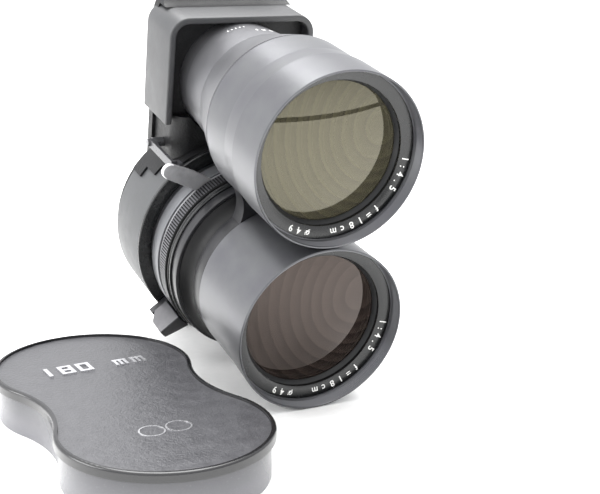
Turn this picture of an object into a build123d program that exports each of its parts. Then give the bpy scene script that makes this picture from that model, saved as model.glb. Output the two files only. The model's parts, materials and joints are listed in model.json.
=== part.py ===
"""Twin telephoto lens unit of a medium-format twin lens reflex camera, with its slip-on cap.

Everything on the unit is drawn level, with the taking axis along Y and the front rims at y = 0, so a
y value is a distance behind the front rims. The unit is then tipped nose-down onto its front rim and
the lip of its lens board, which is how it rests on a table. The cap lies beside it.
"""

from build123d import *
from math import asin, atan2, cos, degrees, radians, sin, sqrt
import os

os.makedirs("parts", exist_ok=True)

# --- driving dimensions, mm ---------------------------------------------------------------------

interaxial = 50.0  # taking axis to viewing axis
rim_r = 24.8  # outside of both front rims
rim_wall = 0.7
thread_depth = 4.4
thread_shelf = 0.32  # inside the thread, around the name ring
glass_edge = 1.58  # name ring seat outside the front elements
name_wide = 3.28
retainer_lip = 0.9  # reach of the retaining ring inside the name ring
glass_seat = 1.2
gap = 0.05  # between pieces that are screwed together
running = 0.06  # radial clearance of a turning ring
leaf = 0.2  # clearance between turning plates

# taking lens, from the front
taper_y = 12.7  # where the flare of the taking barrel starts
taper = 0.5
joint_y = 31.2  # back of the taking barrel
flange_y = 36.8
flange_step = 0.4
mask_y = 42.1
mask_step = 2.4
cover_y = 46.1
cover_step = 0.9
scale_y = 48.5
scale_step = 0.5
speed_y = 53.6
speed_step = 0.5
band_y = 60.6
drum_step = 3.2
drum_wall = 1.8
hub_wall = 4.0
yoke_half = 12.3  # half width at its waist
yoke_foot = 1.3  # spread of the yoke where it meets the lenses

# lens board
board_y = 84.8
board_t = 3.5
board_inset = 1.3  # of the round part, inside the drum
board_clear = 0.1  # inside the walls of the shroud
board_rise = 25.5  # above the viewing axis
board_corner = 8.5
lip = 41.3  # lowest edge of the board under the taking axis
lip_half = 12.0
screw_r = 1.2
screw_head_r = 2.1
screw_head = 1.2
screw_inset = 3.4
screw_above = 16.0  # of the viewing axis
screw_below = 19.0
slot_wide = 0.6
slot_deep = 0.5

# viewing lens
band_front_y = 14.5
band_back_y = 21.0
viewing_joint_y = 33.7
flare_y = 50.2
flare_step = 1.8
tube_r = 18.0
tube_y = 66.0
tube_shoulder = 1.4  # seats on the casting
tube_wall = 1.4
shroud_half = 23.3
shroud_top = 20.1  # above the viewing axis
shroud_bottom = 12.5  # below the viewing axis
shroud_y = 67.6
shroud_lap = 2.7  # of its side walls over the edges of the board
shroud_wall = 2.0
shroud_corner = 6.0
recess = 4.5
neck_inset = 3.1
neck_low = 18.0
neck_corner = 5.0

# shutter
blades = 5
stop_inset = 11.0  # from the blade pins in to the clear opening
blade_clear = 0.3  # outside the opening
blade_wide = 7.2
pivot_inset = 3.7  # from the wall of the case in to the blade pins
pivot_boss = 2.0
blade_t = 0.25
blade_step = 0.45
blade_throw = 32.0  # degrees from open to shut
blade_span = 105.0
pin_r = 0.8
case_wall = 3.6
shutter_y = 68.0
iris_y = 74.0
cell_step = 7.7  # of the rear cell outside the clear opening
cell_wall = 3.0
cell_t = 1.5
rear_reach = 14.7  # of the rear cell behind the board
rear_relief = 0.2  # behind the lock ring's thread
lock_wide = 3.2
lock_t = 3.2
lock_sink = 1.0  # seat of both lock rings in the back of the board

# levers
lever_t = 1.3
aperture_t = 2.8
tab_angle = 219.0  # upper face of the tab
tab_clear = 0.6  # over the speed ring
tab_reach = 7.5
tab_out_span = 4.4  # degrees covered by the tab at its end
tab_in_span = 10.2
tab_y = 50.0
tab_bevel_y = 57.0
tab_bevel = 4.5
cock_angle = 133.0
cock_reach = 10.4  # middle of the rounded tip, outside the speed ring
cock_tip_r = 2.4
cock_root = (-16.0, -3.8)  # degrees from the tip to both sides of the root

socket_angle = -35.0
socket_r = 3.2
socket_bore_r = 2.0
socket_deep = 4.6
socket_reach = 5.2
socket_sink = 1.4
socket_back = 9.0  # behind the front of the drum

# release lever, beside the neck
release_clear = 3.5
release_t = 1.0
release_tall = 2.6
release_z = 27.4
release_hinge_y = 77.2
release_jog_y = 57.5
release_jog = 1.8
release_front = 55.5
release_pin_r = 0.8

# cap
cap_h = 12.8
cap_step = 1.25  # of the lip outside the skirt
cap_hollow = 5.0  # of the waist, inside the lobes
cap_wall = 1.3
cap_fit = 0.15
cap_lip = 1.2
cap_lip_h = 2.6
cap_well = 1.1
cap_top = 1.5  # web between the well and the hollow
cap_panel_t = 0.4
letter_h = 6.2
letter_w = 4.0
letter_stroke = 1.1
letter_pitch = 5.2
letter_rise = 0.5
emblem_r = 3.4
emblem_line = 0.4
emblem_rise = 0.15
emblem_half = 3.6
cap_turn = -86.3  # degrees, far lobe to near lobe
cap_x = -54.5
cap_y = 6.2

# --- derived ------------------------------------------------------------------------------------

taking_axis = Axis((0, 0, 0), (0, 1, 0))
viewing_axis = Axis((0, 0, interaxial), (0, 1, 0))
nose_down = degrees(atan2(lip - rim_r, board_y))

thread_r = rim_r - rim_wall
glass_r = thread_r - thread_shelf - glass_edge
seat_r = glass_r + gap
bore_r = glass_r - glass_seat
barrel_r = rim_r - taper
name_y = thread_depth + gap
name_out = seat_r + glass_edge - gap
name_in = name_out - name_wide
retainer_in = name_in - retainer_lip

hub_r = bore_r + hub_wall
flange_r = barrel_r - flange_step
mask_r = flange_r + mask_step
cover_r = mask_r + cover_step
scale_r = cover_r + scale_step
speed_r = scale_r + speed_step
drum_r = speed_r + drum_step
case_r = drum_r - drum_wall
case_in = case_r - case_wall
pivot_r = case_in - pivot_inset
stop_r = pivot_r - stop_inset  # clear opening of the shutter
aperture_y = band_y + leaf
case_y = aperture_y + aperture_t + leaf
cock_y = speed_y + leaf

board_back = board_y + board_t
board_r = drum_r - board_inset
board_half = shroud_half - shroud_wall - board_clear
shroud_back = board_y + shroud_lap
board_top = interaxial + board_rise
lock_seat = board_back - lock_sink
lock_y = lock_seat + lock_t
rear_cell_r = stop_r + cell_step
rear_in_r = rear_cell_r - cell_wall
rear_cell_y = board_back + rear_reach
screw_x = board_half - screw_inset
screw_heights = (interaxial + screw_above, interaxial - screw_below)
screw_places = [(x, z) for x in (-screw_x, screw_x) for z in screw_heights]
neck_half = shroud_half - neck_inset
flare_r = tube_r + flare_step
tube_rear_r = tube_r - tube_shoulder
tube_in = tube_rear_r - tube_wall
well_y = shroud_y + recess
viewing_bottom = interaxial - shroud_bottom
viewing_top = interaxial + shroud_top
blade_out = stop_r + blade_clear + blade_wide


def half(points, height=0.0):
    """Half-section of a turned piece from (radius, y) points, on the axis at the given height."""
    with BuildSketch(Plane.XY.offset(height)) as profile:
        with BuildLine():
            Polyline(*points, close=True)
        make_face()
    return profile.sketch


def lens_half(r, front, back, bulge_front, bulge_back, height=0.0):
    """Half-section of an element: rim from front to back, faces bulging by the two given heights."""
    with BuildSketch(Plane.XY.offset(height)) as profile:
        with BuildLine():
            face = sag_arc(r, front, -bulge_front)
            Line(face @ 1, (r, back))
            rear = sag_arc(r, back, bulge_back)
            Line(rear @ 0, face @ 0)
        make_face()
    return profile.sketch


def sag_arc(r, edge, bulge):
    """Arc from the axis to radius r, its middle further along y than its edge by the bulge."""
    curve_r = (r * r + bulge * bulge) / (2 * abs(bulge))
    half_turn = asin(r / curve_r) / 2
    side = 1 if bulge > 0 else -1
    centre = edge + bulge - side * curve_r
    middle = (curve_r * sin(half_turn), centre + side * curve_r * cos(half_turn))
    return ThreePointArc((0, edge + bulge), middle, (r, edge))


def ring(outer, inner, front, back, height=0.0):
    """Half-section of a plain ring."""
    return half([(inner, front), (outer, front), (outer, back), (inner, back)], height)


def across(y):
    """Plane facing the front at distance y, with x to the right and z up."""
    return Plane(origin=(0, y, 0), x_dir=(1, 0, 0), z_dir=(0, -1, 0))


def polar(r, angle):
    """Point at radius r, angle in degrees from +x towards +z."""
    return (r * cos(radians(angle)), r * sin(radians(angle)))


pieces = {}

# --- front ends, the same on both lenses --------------------------------------------------------

for lens, height, axis in (("taking", 0.0, taking_axis), ("viewing", interaxial, viewing_axis)):
    with BuildPart() as name_ring:
        name_back = name_y + 2.0
        profile = [(name_in, name_y + 1.0), (name_out, name_y), (name_out, name_back), (name_in, name_back)]
        revolve(half(profile, height), axis=axis)
    with BuildPart() as retaining_ring:
        front = name_back + gap
        profile = [(retainer_in, front + 1.1), (name_in, front), (glass_r, front), (glass_r, front + 2.0),
                   (retainer_in, front + 1.3)]
        revolve(half(profile, height), axis=axis)
    glass_front = name_back + 2.0 + 2 * gap
    with BuildPart() as front_element:
        revolve(lens_half(glass_r, glass_front, glass_front + 4.2, 2.7, -1.2, height), axis=axis)
    with BuildPart() as inner_element:
        revolve(lens_half(glass_r, glass_front + 4.3, glass_front + 8.0, 1.0, -1.8, height), axis=axis)
    with BuildPart() as spacer_ring:
        spacer_front = glass_front + 8.0 + gap
        revolve(ring(glass_r, bore_r, spacer_front, spacer_front + 3.0, height), axis=axis)
    pieces[f"{lens}_name_ring"] = name_ring
    pieces[f"{lens}_retaining_ring"] = retaining_ring
    pieces[f"{lens}_front_element"] = front_element
    pieces[f"{lens}_inner_element"] = inner_element
    pieces[f"{lens}_spacer_ring"] = spacer_ring

seat_back = spacer_front + 3.0 + gap
name_seat = name_back + gap
mouth = [(rim_r - 0.25, 0.0), (thread_r + 0.15, 0.0), (thread_r, 0.15), (thread_r, thread_depth)]
mouth += [(seat_r + glass_edge, thread_depth), (seat_r + glass_edge, name_seat), (seat_r, name_seat)]
mouth += [(seat_r, seat_back), (bore_r, seat_back)]

# --- taking lens barrel -------------------------------------------------------------------------

with BuildPart() as taking_barrel:
    outside = [(bore_r, joint_y), (barrel_r, joint_y), (barrel_r, taper_y), (rim_r, 2.4), (rim_r, 0.25)]
    revolve(half(mouth + outside), axis=taking_axis)
pieces["taking_barrel"] = taking_barrel

with BuildPart() as barrel_flange:
    front = joint_y + gap
    profile = [(bore_r, front), (barrel_r - 0.5, front), (barrel_r - 0.5, front + 0.5)]
    profile += [(flange_r, front + 0.5), (flange_r, flange_y), (bore_r, flange_y)]
    revolve(half(profile), axis=taking_axis)
pieces["barrel_flange"] = barrel_flange

with BuildPart() as barrel_yoke:
    yoke_low = flange_r * 0.8
    yoke_high = interaxial - barrel_r * 0.85
    with BuildSketch(across(flange_y)):
        with BuildLine():
            waist_z = (yoke_low + yoke_high) / 2
            left = ThreePointArc((-yoke_half - yoke_foot, yoke_low), (-yoke_half, waist_z),
                                 (-yoke_half - yoke_foot, yoke_high))
            right = ThreePointArc((yoke_half + yoke_foot, yoke_high), (yoke_half, waist_z),
                                  (yoke_half + yoke_foot, yoke_low))
            Line(left @ 1, right @ 0)
            Line(right @ 1, left @ 0)
        make_face()
        Circle(flange_r + gap, mode=Mode.SUBTRACT)
        with Locations((0, interaxial)):
            Circle(barrel_r + gap, mode=Mode.SUBTRACT)
    extrude(amount=flange_y - joint_y - gap)
pieces["barrel_yoke"] = barrel_yoke

with BuildPart() as mask_ring:
    front = flange_y + gap
    with BuildSketch(Plane.XY) as profile:
        with BuildLine():
            hollow = ThreePointArc((flange_r - 0.2, front), (flange_r + 0.55, (front + mask_y) / 2),
                                   (mask_r, mask_y - 0.6))
            Polyline(hollow @ 1, (mask_r, mask_y), (bore_r, mask_y), (bore_r, front), hollow @ 0)
        make_face()
    revolve(axis=taking_axis)
pieces["mask_ring"] = mask_ring

with BuildPart() as cover_ring:
    revolve(ring(cover_r, bore_r, mask_y + gap, cover_y), axis=taking_axis)
pieces["cover_ring"] = cover_ring

with BuildPart() as scale_ring:
    front = cover_y + gap
    middle = (front + scale_y) / 2
    profile = [(hub_r + gap, front), (scale_r, front), (scale_r, middle - 0.4), (scale_r - 0.7, middle)]
    profile += [(scale_r, middle + 0.4), (scale_r, scale_y), (hub_r + gap, scale_y)]
    revolve(half(profile), axis=taking_axis)
pieces["scale_ring"] = scale_ring

# --- rings and levers on the hub ----------------------------------------------------------------

with BuildPart() as speed_ring:
    front = scale_y + leaf / 2
    profile = [(hub_r + running, front), (speed_r - 0.3, front), (speed_r, front + 0.3), (speed_r, speed_y)]
    profile += [(hub_r + running, speed_y)]
    revolve(half(profile), axis=taking_axis)
pieces["speed_ring"] = speed_ring

with BuildPart() as cocking_lever:
    revolve(ring(speed_r - 0.5, hub_r + running, cock_y, cock_y + lever_t), axis=taking_axis)
    with BuildSketch(across(cock_y + lever_t)):
        tip = polar(speed_r + cock_reach, cock_angle)
        roots = [polar(speed_r - 0.8, cock_angle + turn) for turn in cock_root]
        root_way = atan2(tip[1] - (roots[0][1] + roots[1][1]) / 2, tip[0] - (roots[0][0] + roots[1][0]) / 2)
        side_x = cock_tip_r * sin(root_way)
        side_z = -cock_tip_r * cos(root_way)
        with BuildLine():
            Polyline(roots[0], (tip[0] + side_x, tip[1] + side_z), (tip[0] - side_x, tip[1] - side_z),
                     roots[1], close=True)
        make_face()
        with Locations(tip):
            Circle(cock_tip_r)
    extrude(amount=lever_t)
pieces["cocking_lever"] = cocking_lever

with BuildPart() as hub_band:
    front = cock_y + lever_t + leaf
    profile = [(hub_r + gap, front), (speed_r, front), (speed_r, band_y - 0.3), (speed_r - 0.3, band_y)]
    profile += [(hub_r + gap, band_y)]
    revolve(half(profile), axis=taking_axis)
pieces["hub_band"] = hub_band

with BuildPart() as aperture_lever:
    aperture_back = aperture_y + aperture_t
    tab_in = speed_r + tab_clear
    tab_out = tab_in + tab_reach
    revolve(ring(speed_r - 0.9, hub_r + running, aperture_y, aperture_back), axis=taking_axis)
    with BuildSketch(across(aperture_back)):
        with BuildLine():
            Polyline(polar(hub_r + 1.2, tab_angle), polar(tab_out - 1, tab_angle),
                     polar(tab_out - 1, tab_angle + tab_out_span),
                     polar(hub_r + 1.2, tab_angle + tab_in_span), close=True)
        make_face()
    extrude(amount=aperture_t)
    with BuildSketch(across(aperture_back)):
        with BuildLine():
            Polyline(polar(tab_in, tab_angle), polar(tab_out, tab_angle),
                     polar(tab_out, tab_angle + tab_out_span), polar(tab_in, tab_angle + tab_in_span),
                     close=True)
        make_face()
    extrude(amount=aperture_back - tab_y)
    lower_edge = edges().filter_by(Axis.Y).group_by(Axis.Z)[0]
    fillet(lower_edge, 0.9)
    tab_back = aperture_back + 1
    bevel = [(tab_out + 0.5, tab_bevel_y), (tab_out + 0.5, tab_back), (tab_out - tab_bevel, tab_back)]
    revolve(half(bevel), axis=taking_axis, mode=Mode.SUBTRACT)
pieces["aperture_lever"] = aperture_lever

# --- shutter case -------------------------------------------------------------------------------

with BuildPart() as shutter_case:
    profile = [(bore_r, cover_y + gap), (hub_r, cover_y + gap), (hub_r, case_y), (drum_r, case_y)]
    profile += [(drum_r, case_y + 0.8), (case_r, case_y + 0.8), (case_r, board_y - gap)]
    profile += [(case_in, board_y - gap), (case_in, shutter_y - 0.4), (bore_r, shutter_y - 0.4)]
    revolve(half(profile), axis=taking_axis)
    with BuildSketch(across(shutter_y - 0.5)):
        with PolarLocations(pivot_r, blades):
            Circle(pin_r)
    extrude(amount=-(blades * blade_step + 0.3))
pieces["shutter_case"] = shutter_case

socket_dir = polar(1, socket_angle)
socket_origin = (0, case_y + socket_back, 0)
socket_way = Plane(origin=socket_origin, x_dir=(0, 1, 0), z_dir=(socket_dir[0], 0, socket_dir[1]))
with BuildPart() as taking_drum:
    revolve(ring(drum_r, case_r + gap, case_y + 0.8 + gap, board_y - gap), axis=taking_axis)
    with BuildSketch(socket_way.offset(drum_r - 2)):
        Circle(socket_r + gap)
    extrude(amount=4, mode=Mode.SUBTRACT)
pieces["taking_drum"] = taking_drum

divider_y = shutter_y + blades * blade_step + 0.4
with BuildPart() as divider_plate:
    revolve(ring(case_in - gap, stop_r, divider_y, divider_y + 0.8), axis=taking_axis)
pieces["divider_plate"] = divider_plate

iris_back = iris_y + blades * blade_step + 0.4
with BuildPart() as iris_plate:
    revolve(ring(case_in - gap, stop_r, iris_back, iris_back + 1.2), axis=taking_axis)
    with BuildSketch(across(iris_back + 0.1)):
        with PolarLocations(pivot_r, blades, start_angle=36):
            Circle(pin_r)
    extrude(amount=blades * blade_step + 0.3)
pieces["iris_plate"] = iris_plate


def blade_sketch(y, pivot_angle, shut_by):
    """Crescent blade on its pivot, swung towards the axis by the given angle from fully open."""
    pivot = polar(pivot_r, pivot_angle)
    with BuildSketch(across(y)) as blade:
        with BuildLine():
            inner = CenterArc((0, 0), stop_r + blade_clear, pivot_angle - 8, blade_span)
            outer = CenterArc((0, 0), blade_out, pivot_angle - 8, blade_span)
            Line(inner @ 0, outer @ 0)
            Line(inner @ 1, outer @ 1)
        make_face()
        with Locations(pivot):
            Circle(pivot_boss)
        with BuildLine():
            Polyline(polar(blade_out - 0.3, pivot_angle - 7), polar(pivot_r, pivot_angle - 4.5),
                     polar(pivot_r, pivot_angle + 4.5), polar(blade_out - 0.3, pivot_angle + 9), close=True)
        make_face()
        with Locations(pivot):
            Circle(pin_r + running, mode=Mode.SUBTRACT)
    hinge = Axis((pivot[0], y, pivot[1]), (0, -1, 0))
    return blade.sketch.rotate(hinge, shut_by)


for number in range(blades):
    with BuildPart() as shutter_blade:
        y = shutter_y + number * blade_step + blade_t
        extrude(blade_sketch(y, number * 360 / blades, blade_throw), amount=blade_t)
    pieces[f"shutter_blade_{number + 1}"] = shutter_blade
    with BuildPart() as iris_blade:
        y = iris_y + number * blade_step + blade_t
        extrude(blade_sketch(y, 36 + number * 360 / blades, 0), amount=blade_t)
    pieces[f"iris_blade_{number + 1}"] = iris_blade

with BuildPart() as rear_cell:
    front = iris_back + 1.2 + gap
    profile = [(stop_r, front), (case_in - gap, front), (case_in - gap, front + cell_t)]
    profile += [(rear_cell_r, front + cell_t)]
    relief_y = lock_y + rear_relief
    relief_r = rear_cell_r - rear_relief
    profile += [(rear_cell_r, relief_y), (relief_r, relief_y), (relief_r, rear_cell_y)]
    profile += [(rear_in_r, rear_cell_y), (rear_in_r, board_back), (stop_r, board_back - 4)]
    revolve(half(profile), axis=taking_axis)
pieces["rear_cell"] = rear_cell

with BuildPart() as taking_rear_element:
    revolve(lens_half(rear_in_r - gap, board_back + 4, board_back + 9, -1.5, 2.2), axis=taking_axis)
pieces["taking_rear_element"] = taking_rear_element

with BuildPart() as rear_lock_ring:
    revolve(ring(rear_cell_r + lock_wide, rear_cell_r + gap, lock_seat + gap, lock_y), axis=taking_axis)
pieces["rear_lock_ring"] = rear_lock_ring

# --- lens board ---------------------------------------------------------------------------------

with BuildPart() as lens_board:
    with BuildSketch(across(board_back)):
        Circle(board_r)
        with Locations((0, board_top / 2)):
            Rectangle(2 * board_half, board_top)
        with Locations((0, -lip / 2)):
            Rectangle(2 * lip_half, lip)
    extrude(amount=board_t)
    with BuildSketch(Plane.YZ.offset(-board_half)):
        with BuildLine():
            cove_low = viewing_top + gap
            cove_front = board_y - (board_top - cove_low)
            cove = CenterArc((cove_front, board_top), board_top - cove_low, -90, 90)
            Polyline(cove @ 1, (board_y, cove_low), cove @ 0)
        make_face()
    extrude(amount=2 * board_half)
    top_corners = edges().filter_by(Axis.Y).group_by(Axis.Z)[-1]
    fillet(top_corners, board_corner)
    with BuildSketch(across(board_back)):
        Circle(rear_cell_r + gap)
        with Locations((0, interaxial)):
            Circle(tube_rear_r + gap)
    extrude(amount=board_t, mode=Mode.SUBTRACT)
    with BuildSketch(across(board_back)):
        Circle(rear_cell_r + lock_wide + gap)
        with Locations((0, interaxial)):
            Circle(tube_rear_r + lock_wide + gap)
    extrude(amount=lock_sink, mode=Mode.SUBTRACT)
    with BuildSketch(across(board_back)):
        with Locations(*screw_places):
            Circle(screw_head_r + gap)
    extrude(amount=screw_head, mode=Mode.SUBTRACT)
    with BuildSketch(across(board_back)):
        with Locations(*screw_places):
            Circle(screw_r + gap)
    extrude(amount=board_t, mode=Mode.SUBTRACT)
pieces["lens_board"] = lens_board

# --- viewing lens -------------------------------------------------------------------------------

with BuildPart() as viewing_barrel:
    outside = [(bore_r, viewing_joint_y), (barrel_r, viewing_joint_y), (barrel_r, band_back_y)]
    outside += [(rim_r, band_front_y), (rim_r, 0.25)]
    revolve(half(mouth + outside, interaxial), axis=viewing_axis)
pieces["viewing_barrel"] = viewing_barrel

with BuildPart() as viewing_flare:
    front = viewing_joint_y + gap
    profile = [(bore_r, front), (barrel_r - 0.45, front), (barrel_r - 0.45, front + 0.5)]
    profile += [(barrel_r - 0.15, front + 0.7), (flare_r, flare_y), (tube_in + 1.0, flare_y)]
    revolve(half(profile, interaxial), axis=viewing_axis)
pieces["viewing_flare"] = viewing_flare

with BuildPart() as viewing_tube:
    front = flare_y + gap
    profile = [(tube_in, front), (flare_r - 0.2, front), (tube_r, tube_y), (tube_r, well_y - gap)]
    profile += [(tube_rear_r, well_y - gap), (tube_rear_r, lock_y + 3), (tube_in, lock_y + 3)]
    revolve(half(profile, interaxial), axis=viewing_axis)
pieces["viewing_tube"] = viewing_tube

with BuildPart() as viewing_rear_element:
    revolve(lens_half(tube_in - gap, board_back, board_back + 4, -1.5, 1.4, interaxial), axis=viewing_axis)
pieces["viewing_rear_element"] = viewing_rear_element

with BuildPart() as viewing_lock_ring:
    revolve(ring(tube_rear_r + lock_wide, tube_rear_r + gap, lock_seat + gap, lock_y, interaxial),
            axis=viewing_axis)
pieces["viewing_lock_ring"] = viewing_lock_ring

# --- viewing shroud and casting -----------------------------------------------------------------

with BuildPart() as viewing_shroud:
    middle_z = (viewing_top + viewing_bottom) / 2
    tall = viewing_top - viewing_bottom
    with BuildSketch(across(shroud_back)):
        with Locations((0, middle_z - shroud_bottom)):
            RectangleRounded(2 * shroud_half, tall + 2 * shroud_bottom, shroud_corner)
        with Locations((0, middle_z - shroud_bottom - shroud_wall)):
            RectangleRounded(2 * (shroud_half - shroud_wall), tall + 2 * shroud_bottom,
                             shroud_corner - shroud_wall, mode=Mode.SUBTRACT)
        with Locations((0, viewing_bottom - tall / 2)):
            Rectangle(3 * shroud_half, tall, mode=Mode.SUBTRACT)
    extrude(amount=shroud_back - shroud_y)
    with BuildSketch(across(shroud_back)):
        with Locations((0, interaxial)):
            Rectangle(2 * (board_half + board_clear - gap), 2 * board_rise)
    extrude(amount=shroud_back - board_y + gap, mode=Mode.SUBTRACT)
    front_edges = faces().sort_by(Axis.Y)[0].edges()
    chamfer(front_edges, 0.4)
pieces["viewing_shroud"] = viewing_shroud

with BuildPart() as neck_casting:
    inside_half = shroud_half - shroud_wall - gap
    with BuildSketch(across(board_y - gap)):
        with Locations((0, (viewing_bottom + viewing_top - shroud_wall - gap) / 2)):
            Rectangle(2 * inside_half, viewing_top - shroud_wall - gap - viewing_bottom)
    extrude(amount=board_y - gap - well_y)
    top_corners = edges().filter_by(Axis.Y).group_by(Axis.Z)[-1]
    fillet(top_corners, shroud_corner - shroud_wall)
    with BuildSketch(Plane.XY.offset(neck_low)):
        with Locations((0, (shroud_y + board_y - gap) / 2)):
            Rectangle(2 * neck_half, board_y - gap - shroud_y)
        fillet(vertices().group_by(Axis.Y)[0], neck_corner)
    extrude(amount=viewing_bottom + 2 - neck_low)
    with BuildSketch(across(board_y)):
        Circle(drum_r + 0.8)
        with Locations((0, interaxial)):
            Circle(tube_rear_r + gap)
    extrude(amount=board_y - shroud_y, mode=Mode.SUBTRACT)
    with BuildSketch(across(well_y)):
        with Locations((0, interaxial)):
            Circle(tube_r + 0.6)
    extrude(amount=well_y - shroud_y, mode=Mode.SUBTRACT)
pieces["neck_casting"] = neck_casting

with BuildPart() as drum_saddle:
    saddle_front = case_y + 0.9
    tread = (board_y - gap - saddle_front) / 3
    for step in range(3):
        reach = 57.0 - 6.6 * step
        with BuildSketch(across(board_y - gap - step * tread)):
            Circle(drum_r + 0.7)
            Circle(drum_r + gap, mode=Mode.SUBTRACT)
            with Locations((0, interaxial)):
                Circle(tube_r + 0.3, mode=Mode.SUBTRACT)
            with BuildLine():
                Polyline((0, 0), polar(2 * drum_r, 90 - reach), (0, 4 * drum_r),
                         polar(2 * drum_r, 90 + reach), close=True)
            make_face(mode=Mode.INTERSECT)
        extrude(amount=tread)
pieces["drum_saddle"] = drum_saddle

# --- release lever on its pin at the left of the neck -------------------------------------------

release_out = -neck_half - release_clear - release_t
release_in = release_out + release_t
hinge_z = release_z + release_tall / 2

with BuildPart() as release_lever:
    with BuildSketch(Plane.XY.offset(release_z)):
        with BuildLine():
            hook_out = release_out + release_jog
            hook_in = release_in + release_jog
            Polyline((release_out, release_hinge_y + release_tall / 2), (release_out, release_jog_y),
                     (hook_out, release_jog_y), (hook_out, release_front), (hook_in, release_front),
                     (hook_in, release_jog_y + release_t), (release_in, release_jog_y + release_t),
                     (release_in, release_hinge_y + release_tall / 2), close=True)
        make_face()
    extrude(amount=release_tall)
    back_edges = edges().filter_by(Axis.X).group_by(Axis.Y)[-1]
    fillet(back_edges, release_tall / 2 - gap)
    with BuildSketch(Plane.YZ.offset(release_out)):
        with Locations((release_hinge_y, hinge_z)):
            Circle(release_pin_r + running)
    extrude(amount=release_t, mode=Mode.SUBTRACT)
pieces["release_lever"] = release_lever

with BuildPart() as release_pivot:
    head_t = 0.6
    with BuildSketch(Plane.YZ.offset(release_out - gap - head_t)):
        with Locations((release_hinge_y, hinge_z)):
            Circle(release_pin_r)
    extrude(amount=head_t + gap + release_t + release_clear - gap)
    with BuildSketch(Plane.YZ.offset(release_out - gap - head_t)):
        with Locations((release_hinge_y, hinge_z)):
            Circle(release_pin_r + 0.4)
    extrude(amount=head_t)
    with BuildSketch(Plane.YZ.offset(release_in + gap)):
        with Locations((release_hinge_y, hinge_z)):
            Circle(release_pin_r + 0.7)
    extrude(amount=release_clear - 2 * gap)
pieces["release_pivot"] = release_pivot

# --- fasteners and sockets ----------------------------------------------------------------------

with BuildPart() as board_screws:
    with BuildSketch(across(board_back)):
        with Locations(*screw_places):
            Circle(screw_head_r)
    extrude(amount=screw_head - gap)
    with BuildSketch(across(board_back)):
        with Locations(*screw_places):
            Circle(screw_r)
    extrude(amount=board_t)
    with BuildSketch(across(board_back)):
        with Locations(*screw_places):
            Rectangle(3 * screw_head_r, slot_wide, rotation=25)
    extrude(amount=slot_deep, mode=Mode.SUBTRACT)
pieces["board_screws"] = board_screws

with BuildPart() as sync_socket:
    with BuildSketch(socket_way.offset(drum_r - socket_sink)):
        Circle(socket_r)
    extrude(amount=socket_reach + socket_sink)
    with BuildSketch(socket_way.offset(drum_r + socket_reach)):
        Circle(socket_bore_r)
    extrude(amount=-socket_deep, mode=Mode.SUBTRACT)
pieces["sync_socket"] = sync_socket

with BuildPart() as sync_pin:
    with BuildSketch(socket_way.offset(drum_r + socket_reach - socket_deep)):
        Circle(0.5)
    extrude(amount=socket_deep - 1.2)
pieces["sync_pin"] = sync_pin

# --- cap ----------------------------------------------------------------------------------------


def figure_eight(z, lobe_r, waist):
    """Two lobes one interaxial apart, joined by hollow arcs that leave the given half width between."""
    reach = interaxial / 2
    hollow_r = (reach**2 + waist**2 - lobe_r**2) / (2 * (lobe_r - waist))
    share = lobe_r / (lobe_r + hollow_r)
    touch_x = reach * (1 - share)
    touch_y = (waist + hollow_r) * share
    with BuildSketch(Plane.XY.offset(z)) as outline:
        with BuildLine():
            ThreePointArc((-touch_x, touch_y), (0, waist), (touch_x, touch_y))
            ThreePointArc((touch_x, touch_y), (reach + lobe_r, 0), (touch_x, -touch_y))
            ThreePointArc((touch_x, -touch_y), (0, -waist), (-touch_x, -touch_y))
            ThreePointArc((-touch_x, -touch_y), (-reach - lobe_r, 0), (-touch_x, touch_y))
        make_face()
    return outline.sketch


skirt_in = rim_r + cap_fit
skirt_out = skirt_in + cap_wall
cap_r = skirt_out + cap_step
cap_waist = cap_r - cap_hollow
skirt_waist = cap_waist - cap_step
well_r = cap_r - cap_lip
with BuildPart() as cap_shell:
    extrude(figure_eight(0, skirt_out, skirt_waist), amount=cap_h - cap_lip_h)
    extrude(figure_eight(cap_h - cap_lip_h, cap_r, cap_waist), amount=cap_lip_h)
    rim_edges = faces().sort_by(Axis.Z)[-1].edges()
    fillet(rim_edges, 0.8)
    extrude(figure_eight(cap_h, well_r, cap_waist - cap_lip), amount=-cap_well, mode=Mode.SUBTRACT)
    hollow = figure_eight(0, skirt_in, skirt_waist - cap_wall)
    extrude(hollow, amount=cap_h - cap_well - cap_top, mode=Mode.SUBTRACT)

well_z = cap_h - cap_well
with BuildPart() as cap_panel:
    extrude(figure_eight(well_z, well_r - gap, cap_waist - cap_lip - gap), amount=cap_panel_t)

# Block characters for 180 mm. Each bar is (centre across, centre up, width, height) in its own cell.
stem = letter_h / 2
upright = (0, stem, letter_stroke, letter_h)
left = (-(letter_w - letter_stroke) / 2, stem, letter_stroke, letter_h)
right = (-left[0], stem, letter_stroke, letter_h)
bar_step = (letter_h - letter_stroke) / 2
bars = [(0, letter_stroke / 2 + k * bar_step, letter_w, letter_stroke) for k in range(3)]
small_h = letter_h * 0.7
legs = [(k * (letter_w - letter_stroke) / 2, small_h / 2, letter_stroke * 0.8, small_h) for k in (-1, 0, 1)]
arch = (0, small_h - letter_stroke / 2, letter_w, letter_stroke * 0.8)
small_m = [*legs, arch]
letters = [[upright], [left, right, *bars], [left, right, bars[0], bars[2]], [], small_m, small_m]

with BuildPart() as cap_numerals:
    with BuildSketch(Plane.XY.offset(well_z + cap_panel_t)):
        for cell, letter in enumerate(letters):
            for across_cell, up, wide, high in letter:
                start = (cell - (len(letters) - 1) / 2) * letter_pitch
                with Locations((letter_h / 2 - up - interaxial / 2, start + across_cell)):
                    Rectangle(high, wide)
    extrude(amount=letter_rise)

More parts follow.
